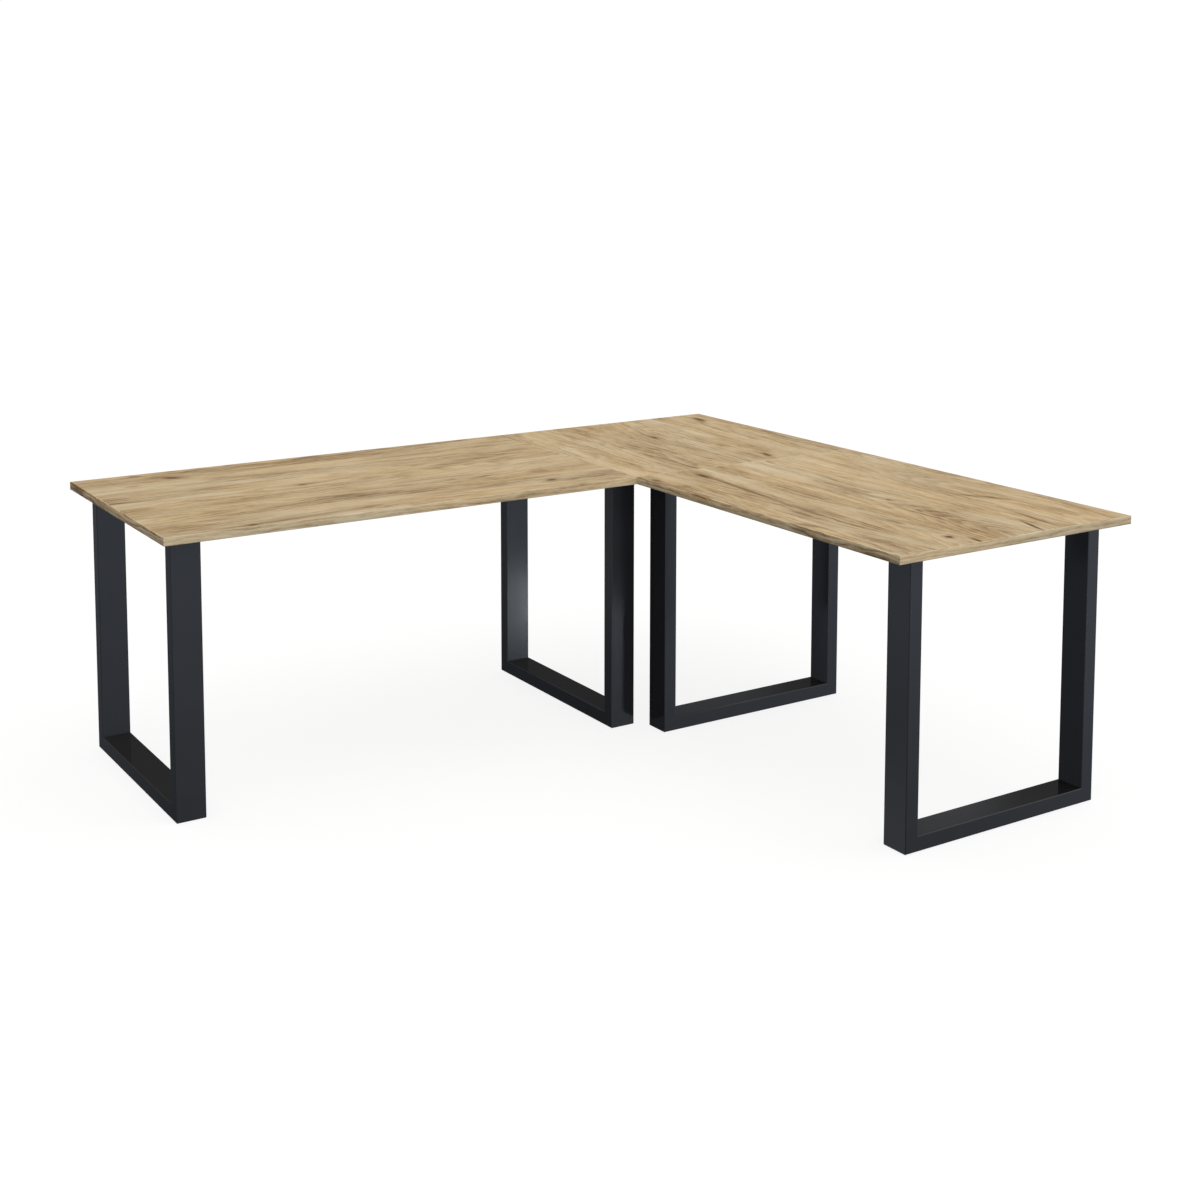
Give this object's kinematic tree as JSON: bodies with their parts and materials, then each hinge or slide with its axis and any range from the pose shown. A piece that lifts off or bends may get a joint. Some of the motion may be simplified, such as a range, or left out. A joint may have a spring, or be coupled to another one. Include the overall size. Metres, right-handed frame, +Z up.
{
  "type": "corner desk",
  "caption": "L-shaped corner desk with oak-decor boards on black rectangular-tube loop legs, two of which sit under the board joints.",
  "frame": {"origin": "on the floor, under the middle of the rectangle that encloses the L", "axes": "+X along the 2200 mm side of the L towards the corner board, +Y from the free front towards the back edge of the left board, +Z up"},
  "size_m": [2.2, 1.9, 0.762],
  "materials": {
    "oak_x": "matt oak decor, grain along X",
    "oak_y": "matt oak decor, grain along Y",
    "oak_edge": "matt oak decor edge strip",
    "black_steel": "semi-gloss black powder coat",
    "zinc_steel": "bright zinc plated",
    "glide_plastic": "matt black moulded plastic",
    "beech": "raw beech"
  },
  "bodies": {
    "root": {"left_board": "oak_x", "left_board_front_edge": "oak_edge", "left_board_back_edge": "oak_edge", "left_board_left_edge": "oak_edge", "left_board_right_edge": "oak_edge", "corner_board": "oak_y", "corner_board_front_edge": "oak_edge", "corner_board_back_edge": "oak_edge", "corner_board_left_edge": "oak_edge", "corner_board_right_edge": "oak_edge", "right_board": "oak_y", "right_board_front_edge": "oak_edge", "right_board_back_edge": "oak_edge", "right_board_left_edge": "oak_edge", "right_board_right_edge": "oak_edge", "left_outer_leg_front_post": "black_steel", "left_outer_leg_back_post": "black_steel", "left_outer_leg_floor_bar": "black_steel", "left_outer_leg_mounting_plate": "black_steel", "left_outer_leg_screws": "zinc_steel", "left_outer_leg_glides": "glide_plastic", "left_inner_leg_front_post": "black_steel", "left_inner_leg_back_post": "black_steel", "left_inner_leg_floor_bar": "black_steel", "left_inner_leg_mounting_plate": "black_steel", "left_inner_leg_screws": "zinc_steel", "left_inner_leg_glides": "glide_plastic", "right_inner_leg_left_post": "black_steel", "right_inner_leg_right_post": "black_steel", "right_inner_leg_floor_bar": "black_steel", "right_inner_leg_mounting_plate": "black_steel", "right_inner_leg_screws": "zinc_steel", "right_inner_leg_glides": "glide_plastic", "right_outer_leg_left_post": "black_steel", "right_outer_leg_right_post": "black_steel", "right_outer_leg_floor_bar": "black_steel", "right_outer_leg_mounting_plate": "black_steel", "right_outer_leg_screws": "zinc_steel", "right_outer_leg_glides": "glide_plastic", "left_joint_dowels": "beech", "right_joint_dowels": "beech"}
  },
  "joints": []
}
